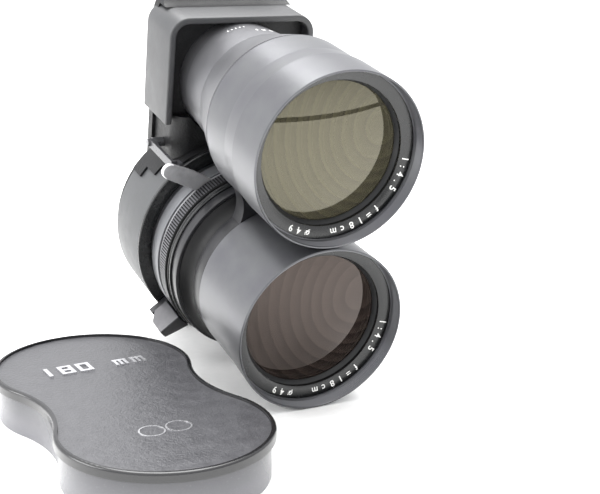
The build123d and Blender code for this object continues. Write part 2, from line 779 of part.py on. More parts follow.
with BuildPart() as cap_emblem:
    with BuildSketch(Plane.XY.offset(well_z + cap_panel_t)):
        for side in (-1, 1):
            with Locations((interaxial / 2, side * emblem_half)):
                Circle(emblem_r)
                Circle(emblem_r - emblem_line, mode=Mode.SUBTRACT)
    extrude(amount=emblem_rise)

# --- the unit at rest on its front rim and lens board, the cap flat beside it -------------------

stance = Location((0, 0, rim_r * cos(radians(nose_down))), (nose_down, 0, 0))
beside = Location((cap_x, cap_y, 0), (0, 0, cap_turn))
cap_pieces = {"cap_shell": cap_shell, "cap_panel": cap_panel, "cap_numerals": cap_numerals,
              "cap_emblem": cap_emblem}
placed = {name: piece.part.moved(stance) for name, piece in pieces.items()}
placed |= {name: piece.part.moved(beside) for name, piece in cap_pieces.items()}
box = Compound(children=[solid for shape in placed.values() for solid in shape.solids()]).bounding_box()
origin = Location((-box.center().X, -box.center().Y, -box.min.Z))
for name, shape in placed.items():
    shape = shape.moved(origin)
    shape.label = name
    export_step(shape, f"parts/{name}.step")
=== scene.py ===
import json
import math

import bmesh
import bpy
from mathutils import Matrix, Vector


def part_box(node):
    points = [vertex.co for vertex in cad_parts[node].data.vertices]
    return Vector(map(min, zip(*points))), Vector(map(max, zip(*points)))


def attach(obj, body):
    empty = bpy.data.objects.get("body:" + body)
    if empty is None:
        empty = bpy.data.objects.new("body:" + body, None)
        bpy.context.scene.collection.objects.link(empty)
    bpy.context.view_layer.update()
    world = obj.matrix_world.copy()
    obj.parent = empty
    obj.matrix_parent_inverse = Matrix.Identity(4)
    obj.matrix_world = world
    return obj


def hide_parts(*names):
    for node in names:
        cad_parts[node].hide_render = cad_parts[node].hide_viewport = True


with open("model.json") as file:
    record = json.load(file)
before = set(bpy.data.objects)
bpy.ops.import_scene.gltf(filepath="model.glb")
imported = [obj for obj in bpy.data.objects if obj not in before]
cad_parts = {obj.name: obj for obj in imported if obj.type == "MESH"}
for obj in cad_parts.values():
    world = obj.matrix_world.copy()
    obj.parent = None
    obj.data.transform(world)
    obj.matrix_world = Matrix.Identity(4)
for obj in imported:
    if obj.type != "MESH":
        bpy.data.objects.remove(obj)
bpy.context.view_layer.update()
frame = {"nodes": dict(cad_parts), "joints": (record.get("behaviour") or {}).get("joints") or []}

# --- The stance of the lens unit ------------------------------------------------------------------
# The unit lies tipped on its front rim. Its pieces are modelled level, in millimetres, with the taking
# axis along Y and the front rims at y = 0, and are then tipped onto the table with the whole unit.

MM = 0.001
rim_r = 24.8
interaxial = 50.0
ring_joint = next(joint for joint in frame["joints"] if joint["name"] == "speed_turn")
forward = Vector(ring_joint["axis"])
nose_down = math.asin(-forward.z)
ring_middle = Vector(ring_joint["pos_m"])
drop = (ring_middle.z - rim_r * MM * math.cos(nose_down)) / math.sin(nose_down)
rim_centre = ring_middle + forward * drop
stance = Matrix.Translation(rim_centre) @ Matrix.Rotation(nose_down, 4, "X")
level = stance.inverted()

# --- Camera ---------------------------------------------------------------------------------------
# A short telephoto on a tripod, close above the front left of the unit. Its place and its turn are given
# in the level millimetres of the unit and are tipped with it.

eye = Vector((-150.76, -265.52, 163.83)) * MM
right, up, back = (0.8986, -0.4285, 0.0944), (0.1018, 0.4129, 0.9049), (-0.427, -0.8035, 0.4147)
bpy.ops.object.camera_add()
camera = bpy.context.object
camera.data.sensor_width = 36.0
camera.data.lens = 75.28
camera.data.clip_start = 0.01
camera.data.clip_end = 50.0
turn = Matrix((right, up, back)).transposed().to_4x4()
camera.matrix_world = stance @ Matrix.Translation(eye) @ turn
bpy.context.scene.camera = camera

# --- Light tent and table -------------------------------------------------------------------------
# A white product tent: a matt white table sheet between bright walls, a large soft light overhead and one
# from the left, and two black flags on the sheet that only mirrors see.

bpy.context.scene.view_settings.view_transform = "Standard"


def linear(hex_colour, alpha=1.0):
    """sRGB hex colour as the linear values that a shader takes."""
    parts = [int(hex_colour[i:i + 2], 16) / 255 for i in (0, 2, 4)]
    return [p / 12.92 if p <= 0.04045 else ((p + 0.055) / 1.055) ** 2.4 for p in parts] + [alpha]


def add_node(finish, kind, inputs=None, **settings):
    """Adds one shader node with its settings, sets or links its inputs, and returns it."""
    made = finish.node_tree.nodes.new(kind)
    for name, value in settings.items():
        setattr(made, name, value)
    for name, value in (inputs or {}).items():
        if isinstance(value, bpy.types.NodeSocket):
            finish.node_tree.links.new(value, made.inputs[name])
        else:
            made.inputs[name].default_value = value
    return made


def new_finish(name, **sockets):
    """A material with one Principled shader, its plain values set on the shader's own sockets."""
    finish = bpy.data.materials.new(name)
    finish.use_nodes = True
    shader = finish.node_tree.nodes["Principled BSDF"]
    for socket, value in sockets.items():
        shader.inputs[socket.replace("_", " ")].default_value = value
    return finish, shader


def grain(finish, shader, size_mm, low, high, colours=None, bump=0.0, rough=None, detail=4.0, tilt=0.0):
    """Noise of one real size on a shader: colour between two hex colours, roughness and bump in mm."""
    place = add_node(finish, "ShaderNodeTexCoord").outputs["Object"]
    if tilt:
        tipped = add_node(finish, "ShaderNodeMapping", {"Vector": place, "Rotation": (-tilt, 0, 0)})
        place = tipped.outputs[0]
    noise = add_node(finish, "ShaderNodeTexNoise",
                     {"Vector": place, "Scale": 1 / (size_mm * MM), "Detail": detail, "Roughness": 0.6})
    spread = add_node(finish, "ShaderNodeMapRange",
                      {"Value": noise.outputs["Fac"], "From Min": low, "From Max": high})
    links = finish.node_tree.links
    if colours:
        ramp = add_node(finish, "ShaderNodeValToRGB", {"Fac": spread.outputs[0]})
        ramp.color_ramp.elements[0].color = linear(colours[0])
        ramp.color_ramp.elements[1].color = linear(colours[1])
        links.new(ramp.outputs["Color"], shader.inputs["Base Color"])
    if rough:
        part = add_node(finish, "ShaderNodeMapRange",
                        {"Value": spread.outputs[0], "To Min": rough[0], "To Max": rough[1]})
        links.new(part.outputs[0], shader.inputs["Roughness"])
    if bump:
        raised = add_node(finish, "ShaderNodeBump",
                          {"Height": spread.outputs[0], "Strength": 1.0, "Distance": bump * MM})
        previous = shader.inputs["Normal"].links
        if previous:
            links.new(previous[0].from_socket, raised.inputs["Normal"])
        links.new(raised.outputs["Normal"], shader.inputs["Normal"])
    return spread


def start(kind, name, **settings):
    """Adds one mesh primitive, alone in the selection, and returns its object."""
    bpy.ops.object.select_all(action="DESELECT")
    getattr(bpy.ops.mesh, f"primitive_{kind}_add")(**settings)
    piece = bpy.context.object
    piece.name = piece.data.name = name
    return piece


table_paper, shader = new_finish("matt_white_table_sheet", Roughness=0.7, Specular_IOR_Level=0.25)
grain(table_paper, shader, 2.5, 0.3, 0.7, ("F6F6F5", "FBFBFA"), rough=(0.62, 0.78))
table = start("plane", "table_sheet", size=3.2, location=(0, 0, 0))
bpy.ops.object.mode_set(mode="EDIT")
bpy.ops.mesh.subdivide(number_cuts=3)
bpy.ops.object.mode_set(mode="OBJECT")
table.data.materials.append(table_paper)

world = bpy.data.worlds.new("tent")
bpy.context.scene.world = world
world.use_nodes = True
sky = world.node_tree.nodes["Background"]
sky.inputs["Strength"].default_value = 2.0
toward = add_node(world, "ShaderNodeTexCoord").outputs["Generated"]
compass = add_node(world, "ShaderNodeSeparateXYZ", {"Vector": toward})
rise = add_node(world, "ShaderNodeMapRange",
                {"Value": compass.outputs["Z"], "From Min": -0.2, "From Max": 0.8})
walls = add_node(world, "ShaderNodeValToRGB", {"Fac": rise.outputs[0]})
walls.color_ramp.elements[0].color = linear("F4F4F4")
walls.color_ramp.elements[1].color = linear("FFFFFF")
for stop, tone in ((0.2, "FFFFFF"), (0.45, "D8D9DC")):
    walls.color_ramp.elements.new(stop).color = linear(tone)
shade = add_node(world, "ShaderNodeMapRange",
                 {"Value": compass.outputs["X"], "From Min": -0.7, "From Max": 0.9,
                  "To Min": 1.1, "To Max": 0.8})
lit = add_node(world, "ShaderNodeVectorMath", {0: walls.outputs["Color"]}, operation="SCALE")
world.node_tree.links.new(shade.outputs[0], lit.inputs["Scale"])
world.node_tree.links.new(lit.outputs[0], sky.inputs["Color"])


def soft_light(name, place, aim, size, power):
    """Square softbox at a place, facing a point, both in metres."""
    bpy.ops.object.light_add(type="AREA", location=place)
    lamp = bpy.context.object
    lamp.name = name
    lamp.data.size = size
    lamp.data.energy = power
    lamp.rotation_mode = "QUATERNION"
    lamp.rotation_quaternion = (Vector(aim) - Vector(place)).to_track_quat("-Z", "Y")


soft_light("top_light", (0.1, 0.15, 0.75), (0, 0, 0.03), 0.7, 12.0)
soft_light("left_light", (-0.8, 0.25, 0.45), (0, 0, 0.04), 0.5, 6.0)

flag_black, shader = new_finish("black_flag_cloth", Specular_IOR_Level=0.1)
grain(flag_black, shader, 3.0, 0.3, 0.7, ("060606", "0C0C0C"), rough=(0.8, 0.95))
for flag_name, flag_x, flag_y, wide, deep in (("front_flag", 0.2, -0.285, 1.4, 0.03),
                                              ("side_flag", -0.4, -0.8, 0.9, 0.9)):
    flag = start("plane", flag_name, size=1.0)
    flag.data.transform(Matrix.Translation((flag_x, flag_y, 0.001)) @ Matrix.Diagonal((wide, deep, 1, 1)))
    flag.data.materials.append(flag_black)
    flag.visible_camera = flag.visible_diffuse = flag.visible_shadow = False

# --- Front barrels --------------------------------------------------------------------------------
# Turned aluminium tubes, anodised satin black, that hold the front glass. The mouth of each is cut with
# a fine filter thread of 0.75 mm pitch. The taking barrel tapers behind its rim; the viewing barrel has a
# wider band in front.

thread_r, thread_depth, thread_start, pitch, groove, thread_turns = 24.1, 4.35, 0.35, 0.75, 0.32, 5
seat_out, seat_in, bore_r = 23.83, 22.25, 21.0
seat_back, name_seat = 19.7, 6.5
barrel_r = 24.3


def turned(name, profile, height=0.0, steps=160, soften=0.0, ring=True):
    """Draws a half-section of (radius, depth) points in mm and spins it on the lens axis.

    A ring's section is closed; without ring it starts and ends on the axis. The points of the section are
    rounded by soften, in mm.
    """
    piece = start("plane", name, size=0.01 * MM)
    bpy.ops.object.mode_set(mode="EDIT")
    bpy.ops.mesh.merge(type="CENTER")
    spots = [Vector((r, y, height)) * MM for r, y in profile]
    bpy.ops.transform.translate(value=spots[0])
    for here, there in zip(spots, spots[1:]):
        bpy.ops.mesh.extrude_region_move(TRANSFORM_OT_translate={"value": there - here})
    if ring:
        mesh = bmesh.from_edit_mesh(piece.data)
        for vertex in mesh.verts:
            vertex.select = len(vertex.link_edges) == 1
        bmesh.update_edit_mesh(piece.data)
        bpy.ops.mesh.edge_face_add()
    bpy.ops.mesh.select_all(action="SELECT")
    if soften:
        bpy.ops.mesh.bevel(offset=soften * MM, segments=2, affect="VERTICES", clamp_overlap=True)
        bpy.ops.mesh.select_all(action="SELECT")
    bpy.ops.mesh.spin(steps=steps, angle=math.tau, center=(0, 0, height * MM), axis=(0, 1, 0))
    bpy.ops.mesh.select_all(action="SELECT")
    bpy.ops.mesh.remove_doubles(threshold=0.002 * MM)
    bpy.ops.mesh.normals_make_consistent(inside=False)
    bpy.ops.object.mode_set(mode="OBJECT")
    return piece


def seat(piece, body, finish, slot, *nodes, crisp=28):
    """Tips a finished piece onto the table with the unit, gives it its finish and fixes it to its body.

    Edges sharper than crisp, in degrees, stay crisp.
    """
    bpy.ops.object.select_all(action="DESELECT")
    piece.select_set(True)
    bpy.context.view_layer.objects.active = piece
    bpy.ops.object.shade_smooth_by_angle(angle=math.radians(crisp))
    piece.data.transform(stance)
    for part in ((finish,) if isinstance(finish, bpy.types.Material) else finish):
        piece.data.materials.append(part)
    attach(piece, body)
    if nodes:
        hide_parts(*nodes)
    return piece


barrel_anodising, shader = new_finish("satin_anodised_aluminium", Metallic=0.72, IOR=1.6,
                                      Specular_IOR_Level=0.5)
grain(barrel_anodising, shader, 9.0, 0.35, 0.65, ("57575B", "5D5E60"), rough=(0.32, 0.37), tilt=nose_down)
grain(barrel_anodising, shader, 0.12, 0.3, 0.7, bump=0.002, tilt=nose_down)

mouth = [(rim_r - 0.25, 0.0), (thread_r + 0.2, 0.0)]
for count in range(thread_turns):
    mouth += [(thread_r, thread_start + count * pitch),
              (thread_r + groove, thread_start + (count + 0.5) * pitch)]
mouth += [(thread_r, thread_depth), (seat_out, thread_depth + 0.05), (seat_out, name_seat),
          (seat_in, name_seat), (seat_in, seat_back), (bore_r, seat_back)]
joint_black, shader = new_finish("dark_joint_anodising", IOR=1.5, Specular_IOR_Level=0.3)
grain(joint_black, shader, 4.0, 0.3, 0.7, ("040405", "09090A"), rough=(0.5, 0.6), tilt=nose_down)
taking_outside = [(bore_r, 31.2), (barrel_r - 0.35, 31.2), (barrel_r, 30.9), (barrel_r, 12.7),
                  (rim_r, 2.4)]
viewing_outside = [(bore_r, 33.7), (barrel_r - 0.4, 33.7), (barrel_r, 33.35), (barrel_r, 21.0),
                   (rim_r, 14.5)]
# The back edge, from joint_start on, and all of the mouth within mouth_r have the darker finish.
mouth_r = 23.8
for lens, height, outside, joint_start in (("taking", 0.0, taking_outside, 30.95),
                                           ("viewing", interaxial, viewing_outside, 33.4)):
    barrel = turned(f"{lens}_barrel_tube", mouth + outside + [(rim_r, 0.25)], height)
    seat(barrel, "unit", (barrel_anodising, joint_black), "satin_black", f"{lens}_barrel", crisp=3.2)
    for face in barrel.data.polygons:
        middle = level @ face.center
        inside = math.hypot(middle.x, middle.z - height * MM) < mouth_r * MM
        face.material_index = 1 if middle.y > joint_start * MM or inside else 0

# --- Name rings and their figures -----------------------------------------------------------------
# Thin sloping rings of black lacquered brass just behind the thread. The widest aperture, the focal
# length and the filter size are engraved and filled with white paint.

ring_lacquer, shader = new_finish("black_lacquered_brass", IOR=1.5, Specular_IOR_Level=0.55)
grain(ring_lacquer, shader, 6.0, 0.3, 0.7, ("0C0D0E", "121314"), rough=(0.2, 0.3), tilt=nose_down)
grain(ring_lacquer, shader, 0.1, 0.3, 0.7, bump=0.0015, tilt=nose_down)
white_fill, shader = new_finish("white_engraving_paint", IOR=1.45, Specular_IOR_Level=0.3)
grain(white_fill, shader, 0.4, 0.3, 0.7, ("E2E2DE", "F4F4F1"), rough=(0.5, 0.7))
# Each text with the angle of its middle and the angle from one character to the next, in degrees.
figure_places = ((-18.4, "1:4.5", 5.7), (-65.5, "f=18cm", 7.2), (-111.0, "∅49", 6.8))
figure_size = 2.6


def figure(name, text, size):
    """One engraved character as a flat mesh, centred on the origin, read from the front."""
    bpy.ops.object.select_all(action="DESELECT")
    bpy.ops.object.text_add()
    letter = bpy.context.object
    letter.name = name
    letter.data.body = text
    letter.data.size = size * MM
    letter.data.align_x = "CENTER"
    letter.data.align_y = "CENTER"
    letter.data.extrude = 0.03 * MM
    letter.data.offset = 0.035 * MM
    letter.data.resolution_u = 3
    bpy.ops.object.convert(target="MESH")
    return bpy.context.object


def join(name, parts):
    """Makes one piece of several."""
    bpy.ops.object.select_all(action="DESELECT")
    for part in parts:
        part.select_set(True)
    bpy.context.view_layer.objects.active = parts[0]
    if len(parts) > 1:
        bpy.ops.object.join()
    parts[0].name = parts[0].data.name = name
    return parts[0]


name_in, name_out, name_y, name_back = 20.5, 23.78, 4.45, 6.45
fall = 1.0
slope = math.atan2(fall, name_out - name_in)
for lens, height in (("taking", 0.0), ("viewing", interaxial)):
    profile = [(name_in, name_y + fall), (name_out, name_y), (name_out, name_back), (name_in, name_back)]
    name_ring = turned(f"{lens}_name_ring_turned", profile, height, soften=0.06)
    seat(name_ring, "unit", ring_lacquer, "matte_black", f"{lens}_name_ring")
    letters = []
    middle_r = (name_in + name_out) / 2 + 0.1
    figure_y = name_y + fall * (name_out - middle_r) / (name_out - name_in) - 0.02
    for centre_angle, text, spacing in figure_places:
        for count, character in enumerate(text):
            # The characters stand on the side towards the glass and run clockwise from the front.
            angle = math.radians(centre_angle - (count - (len(text) - 1) / 2) * spacing)
            letter = figure("figure", character, figure_size)
            letter.data.transform(Matrix.Rotation(math.radians(90), 4, "X"))
            letter.data.transform(Matrix.Rotation(slope, 4, "X"))
            letter.data.transform(Matrix.Translation(Vector((0, figure_y, middle_r)) * MM))
            letter.data.transform(Matrix.Rotation(math.radians(90) - angle, 4, "Y"))
            letter.data.transform(Matrix.Translation((0, 0, height * MM)))
            letters.append(letter)
    figures = join(f"{lens}_ring_figures", letters)
    seat(figures, "unit", white_fill, "silver")

# --- Retaining rings ------------------------------------------------------------------------------
# Narrow matt black rings screwed down onto the front glass. Each slopes down to the glass on its inside
# and lies flat against the name ring on its outside.

retaining_black, shader = new_finish("matt_black_anodised_ring", IOR=1.5, Specular_IOR_Level=0.4)
grain(retaining_black, shader, 3.0, 0.3, 0.7, ("070809", "0D0E10"), rough=(0.38, 0.5), tilt=nose_down)
for lens, height in (("taking", 0.0), ("viewing", interaxial)):
    profile = [(19.6, 7.6), (20.5, 6.5), (22.2, 6.5), (22.2, 8.5), (19.6, 7.8)]
    retaining_ring = turned(f"{lens}_retaining_ring_turned", profile, height, soften=0.05)
    seat(retaining_ring, "unit", retaining_black, "matte_black", f"{lens}_retaining_ring")

# --- Front glass ----------------------------------------------------------------------------------
# Ground and polished glass, domed in front. Its coating mirrors olive in the viewing lens and brown in the
# taking lens. The second element of each lens lies behind it in the same coating.


def arc(r, edge, bulge, count):
    """(radius, depth) points of a shallow ground face, from the axis to its rim at depth edge."""
    curve_r = (r * r + bulge * bulge) / (2 * abs(bulge))
    side = 1 if bulge > 0 else -1
    centre = edge + bulge - side * curve_r
    reach = math.asin(r / curve_r)
    angles = [reach * k / count for k in range(count + 1)]
    return [(curve_r * math.sin(a), centre + side * curve_r * math.cos(a)) for a in angles]


def element(name, r, front, rear, front_bulge, rear_bulge, height):
    """One lens element, spun from its two ground faces."""
    face = arc(r, front, front_bulge, face_points)
    far_face = arc(r, rear, rear_bulge, face_points)[::-1]
    return turned(name, face + far_face, height, ring=False)


coats = {}
glass_r, face_points = 22.2, 22
# Faint rings painted into the glass colour round a point off to one side of the axis, behind the glass,
# are a painted reflection of the barrel's ribs; the scale is in rings a millimetre.
rib_side, rib_depth, rib_rise, rib_scale = 14, 14, 6, 0.11
for lens, height, index, tint, rib_reflection_tones in (("taking", 0.0, 1.62, "D8C8C0", ("1E1917", "38302C")),
                                         ("viewing", interaxial, 1.78, "E2DCC4", ("3D3A30", "4B4839"))):
    coat, shader = new_finish(f"{lens}_coated_glass", IOR=index, Roughness=0.012, Transmission_Weight=0.25,
                              Specular_IOR_Level=0.5, Specular_Tint=linear(tint))
    # Painted reflection: rings that stand in for the barrel's ribs, laid into the glass colour round this
    # centre.
    rib_reflection_centre = stance @ Vector((rib_side * MM, rib_depth * MM, (height + rib_rise) * MM))
    place = add_node(coat, "ShaderNodeMapping",
                     {"Vector": add_node(coat, "ShaderNodeTexCoord").outputs["Object"],
                      "Location": tuple(-rib_reflection_centre)})
    painted_rib_reflection = add_node(coat, "ShaderNodeTexWave",
                    {"Vector": place.outputs[0], "Scale": rib_scale / MM, "Distortion": 0.6,
                     "Detail": 1.0, "Detail Scale": 60.0},
                    wave_type="RINGS", rings_direction="SPHERICAL", wave_profile="SAW")
    rib_reflection_ramp = add_node(coat, "ShaderNodeValToRGB", {"Fac": painted_rib_reflection.outputs["Fac"]})
    rib_reflection_ramp.color_ramp.elements[0].color = linear(rib_reflection_tones[0])
    rib_reflection_ramp.color_ramp.elements[1].color = linear(rib_reflection_tones[1])
    coat.node_tree.links.new(rib_reflection_ramp.outputs["Color"], shader.inputs["Base Color"])
    coats[lens] = coat
    front_element = element(f"{lens}_front_glass", glass_r, 8.55, 12.75, -2.7, -1.2, height)
    seat(front_element, "unit", coat, "glass", f"{lens}_front_element", crisp=60)
    inner_element = element(f"{lens}_inner_glass", glass_r, 12.85, 16.55, 1.0, -1.8, height)
    seat(inner_element, "unit", coat, "glass", f"{lens}_inner_element", crisp=60)

# --- Flange, yoke, mask ring, cover ring and scale ring -------------------------------------------
# Turned rings stacked behind the taking barrel: a satin flange, a hollow matt black ring that masks the
# step up to the shutter, a black cover ring and a black grooved scale ring. A yoke ties the two barrels.

flange_profile = [(bore_r, 31.25), (23.8, 31.25), (23.8, 31.75), (23.9, 31.85), (23.9, 36.6),
                  (23.7, 36.8), (bore_r, 36.8)]
ring_black, shader = new_finish("satin_black_anodised_ring", Metallic=0.3, IOR=1.5,
                                Specular_IOR_Level=0.5)
grain(ring_black, shader, 6.0, 0.3, 0.7, ("1C1C1E", "222225"), rough=(0.28, 0.36), tilt=nose_down)
grain(ring_black, shader, 0.12, 0.3, 0.7, bump=0.002, tilt=nose_down)
seat(turned("barrel_flange_turned", flange_profile, soften=0.04), "unit", ring_black, "satin_black",
     "barrel_flange")


def refinish(node, finish):
    """Gives a piece that keeps its CAD shape its one finish."""
    piece = frame["nodes"][node]
    piece.data.materials.clear()
    piece.data.materials.append(finish)


refinish("barrel_yoke", ring_black)

mask_black, shader = new_finish("matt_black_paint", IOR=1.5, Specular_IOR_Level=0.2)
grain(mask_black, shader, 4.0, 0.3, 0.7, ("040405", "070708"), rough=(0.42, 0.52), tilt=nose_down)
grain(mask_black, shader, 0.15, 0.3, 0.7, bump=0.003, tilt=nose_down)
mask_front, mask_back, mask_lip, mask_small, mask_large, mask_sag = 36.85, 42.1, 0.6, 23.7, 26.3, 0.55
hollow = []
for count in range(13):
    share = count / 12
    hollow.append((mask_small + (mask_large - mask_small) * share - mask_sag * math.sin(math.pi * share),
                   mask_front + (mask_back - mask_lip - mask_front) * share))
mask_profile = [(bore_r, mask_front)] + hollow + [(mask_large, mask_back), (bore_r, mask_back)]
seat(turned("mask_ring_turned", mask_profile), "unit", mask_black, "matte_black", "mask_ring")

cover_profile = [(bore_r, 42.15), (27.0, 42.15), (27.2, 42.35), (27.2, 45.9), (27.0, 46.1),
                 (bore_r, 46.1)]
seat(turned("cover_ring_turned", cover_profile, soften=0.05), "unit", ring_black, "satin_grey",
     "cover_ring")

fixed_bore = 25.05
scale_profile = [(fixed_bore, 46.15), (27.5, 46.15), (27.7, 46.3), (27.7, 46.9), (27.05, 47.35),
                 (27.7, 47.75), (27.7, 48.35), (27.55, 48.5), (fixed_bore, 48.5)]
seat(turned("scale_ring_turned", scale_profile, soften=0.04), "unit", ring_lacquer, "matte_black",
     "scale_ring")

# --- Speed ring and hub band ----------------------------------------------------------------------
# The ring that sets the shutter speed is milled all round for grip, in satin black with its crests worn
# bright. Behind it, past the cocking lever, a plain satin chromed band closes the hub.

shutter_grey, shader = new_finish("grey_satin_chrome", Metallic=0.6, IOR=1.5, Specular_IOR_Level=0.6)
grain(shutter_grey, shader, 5.0, 0.3, 0.7, ("626366", "696A6D"), rough=(0.32, 0.4), tilt=nose_down)
grain(shutter_grey, shader, 0.12, 0.3, 0.7, bump=0.002, tilt=nose_down)
milled_steel, shader = new_finish("worn_black_chrome_milling", Metallic=0.7, Specular_IOR_Level=0.5)
grain(milled_steel, shader, 3.0, 0.3, 0.7, ("535356", "5E5E62"), rough=(0.28, 0.36), tilt=nose_down)
teeth, tooth_depth, turning_bore = 200, 0.4, 25.06
speed_front, speed_back, speed_r = 48.6, 53.6, 28.2
speed_profile = [(turning_bore, speed_front), (speed_r - 0.3, speed_front), (speed_r, speed_front + 0.3),
                 (speed_r, speed_back - 0.1), (speed_r - 0.1, speed_back), (turning_bore, speed_back)]
speed_ring = turned("speed_ring_milled", speed_profile, steps=2 * teeth)
bpy.context.view_layer.objects.active = speed_ring
bpy.ops.object.mode_set(mode="EDIT")
mesh = bmesh.from_edit_mesh(speed_ring.data)
for face in mesh.faces:
    middle = face.calc_center_median() / MM
    outside = math.hypot(middle.x, middle.z) > speed_r - 0.08
    column = int((math.atan2(middle.z, middle.x) + math.tau) / math.tau * 2 * teeth)
    face.select = outside and column % 2 == 0
bmesh.update_edit_mesh(speed_ring.data)
bpy.ops.mesh.select_mode(type="FACE")
bpy.ops.mesh.extrude_region_shrink_fatten(TRANSFORM_OT_shrink_fatten={"value": -tooth_depth * MM})
for face in bmesh.from_edit_mesh(speed_ring.data).faces:
    middle = face.calc_center_median() / MM
    worn = math.hypot(middle.x, middle.z) > speed_r - 0.05
    face.material_index = 1 if worn else 0
bmesh.update_edit_mesh(speed_ring.data)
bpy.ops.mesh.select_mode(type="VERT")
bpy.ops.object.mode_set(mode="OBJECT")
seat(speed_ring, "speed_ring", (mask_black, milled_steel), "satin_grey", "speed_ring")
band_profile = [(fixed_bore, 55.3), (28.05, 55.3), (28.2, 55.45), (28.2, 60.3), (27.9, 60.6),
                (fixed_bore, 60.6)]
seat(turned("hub_band_turned", band_profile, soften=0.04), "unit", shutter_grey, "satin_grey",
     "hub_band")

# --- Aperture lever -------------------------------------------------------------------------------
# A ring with a stout cast tab at the lower left that slides over the aperture scale, anodised black and
# worn to grey metal on the face that the finger pushes.


def slab(name, corners, front, back, round_by, segments=3):
    """A flat plate of (x, z) corners in mm, extruded from front to back, its edges rounded."""
    piece = start("plane", name, size=0.01 * MM)
    bpy.ops.object.mode_set(mode="EDIT")
    bpy.ops.mesh.merge(type="CENTER")
    spots = [Vector((x, front, z)) * MM for x, z in corners]
    bpy.ops.transform.translate(value=spots[0])
    for here, there in zip(spots, spots[1:]):
        bpy.ops.mesh.extrude_region_move(TRANSFORM_OT_translate={"value": there - here})
    bpy.ops.mesh.select_all(action="SELECT")
    bpy.ops.mesh.edge_face_add()
    bpy.ops.mesh.extrude_region_move(TRANSFORM_OT_translate={"value": (0, (back - front) * MM, 0)})
    bpy.ops.mesh.select_all(action="SELECT")
    bpy.ops.mesh.normals_make_consistent(inside=False)
    bpy.ops.object.mode_set(mode="OBJECT")
    soften = piece.modifiers.new("rounded", "BEVEL")
    soften.width = round_by * MM
    soften.segments = segments
    soften.limit_method = "ANGLE"
    soften.angle_limit = math.radians(28)
    bpy.ops.object.modifier_apply(modifier="rounded")
    return piece


def polar(r, degrees):
    """Point (x, z) at radius r, angle from +x towards +z."""
    return (r * math.cos(math.radians(degrees)), r * math.sin(math.radians(degrees)))


tab_angle, tab_in, tab_out, tab_front, tab_back = 219.0, 28.8, 36.3, 50.0, 63.6
tab_spread_in, tab_spread_out = 10.2, 4.4
lever_black, shader = new_finish("black_anodised_lever", IOR=1.5, Specular_IOR_Level=0.6)
grain(lever_black, shader, 2.5, 0.35, 0.7, ("18181A", "1F1F22"), rough=(0.34, 0.42), tilt=nose_down)
grain(lever_black, shader, 0.12, 0.3, 0.7, bump=0.003, tilt=nose_down)
worn_grey, shader = new_finish("worn_grey_lever_metal", Metallic=0.3, Specular_IOR_Level=0.5)
grain(worn_grey, shader, 2.0, 0.3, 0.7, ("5D5D5F", "676669"), rough=(0.34, 0.42), tilt=nose_down)
tab = [polar(tab_in, tab_angle), polar(tab_out, tab_angle),
       polar(tab_out, tab_angle + tab_spread_out), polar(tab_in, tab_angle + tab_spread_in)]
tab_block = slab("aperture_tab", tab, tab_front, tab_back, 0.5)
# Behind slant_front the outer edge falls away towards the axis, slant_drop over slant_run of depth.
slant_front, slant_drop, slant_run = 57.0, 4.5, 6.5
bpy.ops.object.mode_set(mode="EDIT")
bpy.ops.mesh.select_all(action="SELECT")
corner_x, corner_z = polar(tab_out, tab_angle)
edge_point = Vector((corner_x, slant_front, corner_z))
way_out = Vector((math.cos(math.radians(tab_angle)), 0, math.sin(math.radians(tab_angle))))
cut_normal = (way_out * slant_run + Vector((0, slant_drop, 0))).normalized()
bpy.ops.mesh.bisect(plane_co=edge_point * MM, plane_no=cut_normal, use_fill=True, clear_outer=True)
mesh = bmesh.from_edit_mesh(tab_block.data)
upper = Vector((-math.sin(math.radians(tab_angle)), 0, math.cos(math.radians(tab_angle))))
for face in mesh.faces:
    face.material_index = 1 if face.normal.dot(-upper) > 0.8 else 0
bmesh.update_edit_mesh(tab_block.data)
bpy.ops.object.mode_set(mode="OBJECT")
arm_in, arm_out, hub_front, hub_out = 26.4, tab_out - 1.5, 60.8, 27.3
arm = [polar(arm_in, tab_angle), polar(arm_out, tab_angle), polar(arm_out, tab_angle + 4.8),
       polar(arm_in, tab_angle + tab_spread_in)]
tab_arm = slab("aperture_arm", arm, hub_front + 0.05, tab_back, 0.15)
hub_profile = [(turning_bore, hub_front), (hub_out, hub_front), (hub_out, tab_back),
               (turning_bore, tab_back)]
lever_ring = turned("aperture_hub", hub_profile, soften=0.08)
for part in (tab_arm, lever_ring, tab_block):
    part.data.materials.append(lever_black)
    part.data.materials.append(worn_grey)
aperture_lever = join("aperture_lever_cast", [tab_block, tab_arm, lever_ring])
seat(aperture_lever, "aperture_lever", (), "satin_black", "aperture_lever")

# --- Cocking lever --------------------------------------------------------------------------------
# A flat steel lever with a round tip at the upper left, satin chromed, that winds the shutter.
# Its hub turns between the speed ring and the hub band.

lever_chrome, shader = new_finish("satin_chromed_steel", Metallic=0.8, Specular_IOR_Level=0.5)
grain(lever_chrome, shader, 2.0, 0.3, 0.7, ("707173", "7B7B7D"), rough=(0.26, 0.34), tilt=nose_down)
grain(lever_chrome, shader, 0.1, 0.3, 0.7, bump=0.0015, tilt=nose_down)
cock_angle, cock_front, cock_back, cock_reach, tip_r = 133.0, 53.8, 55.1, 10.4, 2.4
root_r, cock_hub_r = 27.4, 27.7
tip = Vector(polar(speed_r + cock_reach, cock_angle))
roots = [Vector(polar(root_r, cock_angle - 16.0)), Vector(polar(root_r, cock_angle - 3.8))]
way = tip - (roots[0] + roots[1]) / 2
first = math.degrees(math.atan2(way.y, way.x)) - 90
outline = [tuple(roots[0])]
upper_end = tip + Vector(polar(tip_r, first))
outline.append(tuple(roots[0].lerp(upper_end, 0.5) + Vector(polar(0.5, first))))
for count in range(13):
    outline.append(tuple(tip + Vector(polar(tip_r, first + 15 * count))))
outline.append(tuple(roots[1]))
lever_blade = slab("cocking_blade", outline, cock_front, cock_back, 0.4)
